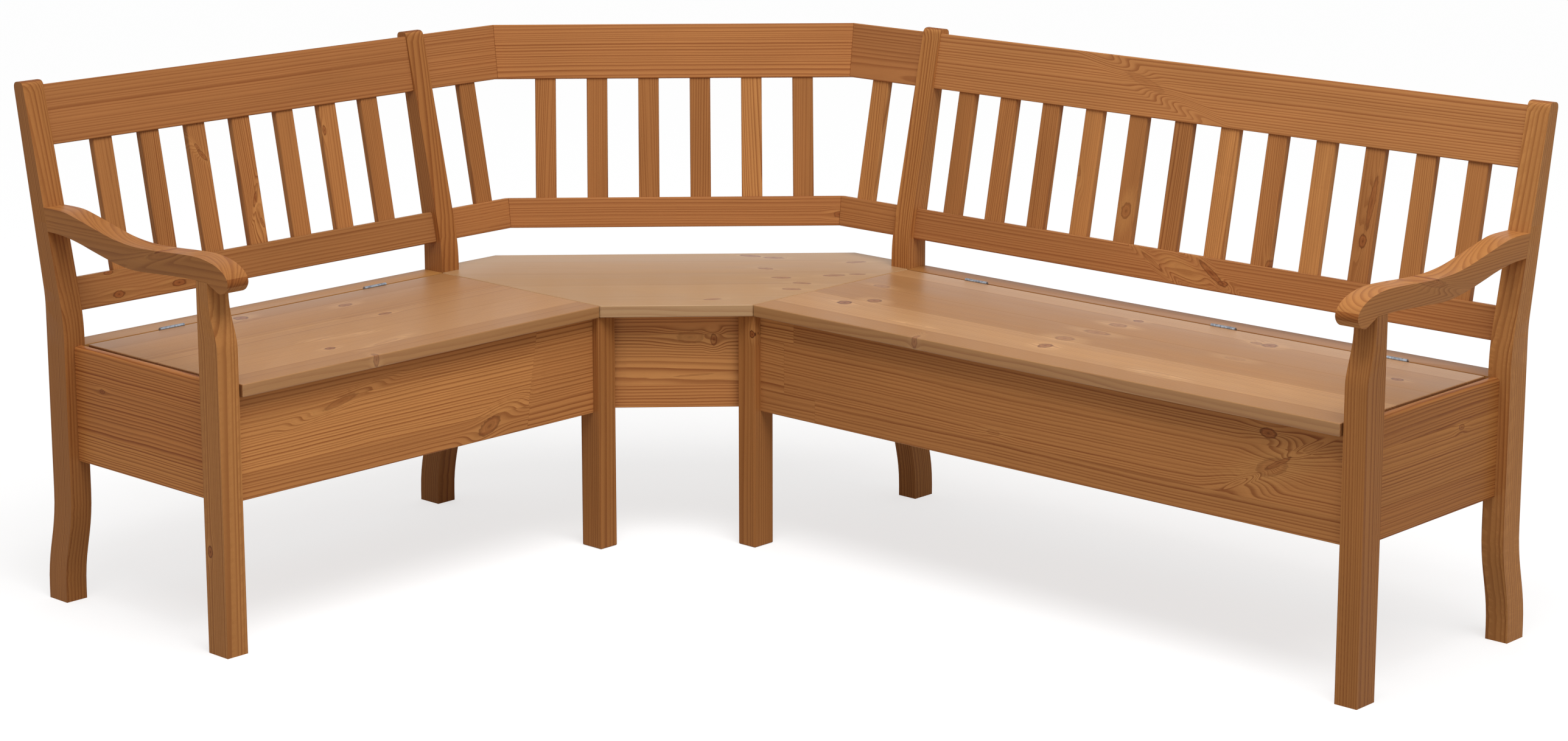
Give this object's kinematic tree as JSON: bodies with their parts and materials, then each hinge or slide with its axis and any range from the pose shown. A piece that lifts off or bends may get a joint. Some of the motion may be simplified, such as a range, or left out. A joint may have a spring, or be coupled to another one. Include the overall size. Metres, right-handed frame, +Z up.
{
  "type": "corner storage bench",
  "caption": "Slatted pine corner bench with armrests: two benches with hinged lids over storage boxes, joined by a fixed corner seat and a mitred corner back.",
  "frame": {"origin": "on the floor, under the middle of the whole bench's box", "axes": "+Z up, +X along the long bench from the corner to its end, -Y the way a sitter on the long bench faces; the short bench runs along -Y"},
  "size_m": [2.0504, 1.5964, 0.911],
  "materials": {
    "pine_frame": "satin lacquered honey pine",
    "pine_panel": "satin lacquered honey pine",
    "pine_seat": "satin lacquered honey pine",
    "hinge_zinc": "zinc plated steel"
  },
  "bodies": {
    "frame": {"corner_apron": "pine_panel", "corner_back": "pine_frame", "corner_seat": "pine_seat", "left_arm": "pine_frame", "left_box_floor": "pine_panel", "left_divider": "pine_panel", "left_end_front_leg": "pine_frame", "left_end_panel": "pine_panel", "left_end_rear_post": "pine_frame", "left_front_panel": "pine_panel", "left_hinge_1_fixed_leaf": "hinge_zinc", "left_hinge_2_fixed_leaf": "hinge_zinc", "left_hinge_strip": "pine_seat", "left_inner_front_leg": "pine_frame", "left_inner_rear_post": "pine_frame", "left_lower_rail": "pine_frame", "left_rear_panel": "pine_panel", "left_slat_1": "pine_frame", "left_slat_2": "pine_frame", "left_slat_3": "pine_frame", "left_slat_4": "pine_frame", "left_slat_5": "pine_frame", "left_slat_6": "pine_frame", "left_slat_7": "pine_frame", "left_top_rail": "pine_frame", "right_arm": "pine_frame", "right_box_floor": "pine_panel", "right_divider": "pine_panel", "right_end_front_leg": "pine_frame", "right_end_panel": "pine_panel", "right_end_rear_post": "pine_frame", "right_front_panel": "pine_panel", "right_hinge_1_fixed_leaf": "hinge_zinc", "right_hinge_2_fixed_leaf": "hinge_zinc", "right_hinge_3_fixed_leaf": "hinge_zinc", "right_hinge_strip": "pine_seat", "right_inner_front_leg": "pine_frame", "right_inner_rear_post": "pine_frame", "right_lower_rail": "pine_frame", "right_rear_panel": "pine_panel", "right_slat_1": "pine_frame", "right_slat_10": "pine_frame", "right_slat_11": "pine_frame", "right_slat_12": "pine_frame", "right_slat_2": "pine_frame", "right_slat_3": "pine_frame", "right_slat_4": "pine_frame", "right_slat_5": "pine_frame", "right_slat_6": "pine_frame", "right_slat_7": "pine_frame", "right_slat_8": "pine_frame", "right_slat_9": "pine_frame", "right_top_rail": "pine_frame"},
    "left_lid": {"left_hinge_1_moving_leaf": "hinge_zinc", "left_hinge_2_moving_leaf": "hinge_zinc", "left_lid": "pine_seat"},
    "right_lid": {"right_hinge_1_moving_leaf": "hinge_zinc", "right_hinge_2_moving_leaf": "hinge_zinc", "right_hinge_3_moving_leaf": "hinge_zinc", "right_lid": "pine_seat"}
  },
  "joints": [
    {"name": "left_lid", "type": "hinge", "parent": "frame", "child": "left_lid", "pos_m": [-0.90881, -0.34719, 0.4605], "axis": [0, -1, 0], "range_deg": [0, 100]},
    {"name": "right_lid", "type": "hinge", "parent": "frame", "child": "right_lid", "pos_m": [0.34919, 0.68181, 0.4605], "axis": [-1, 0, 0], "range_deg": [0, 100]}
  ]
}
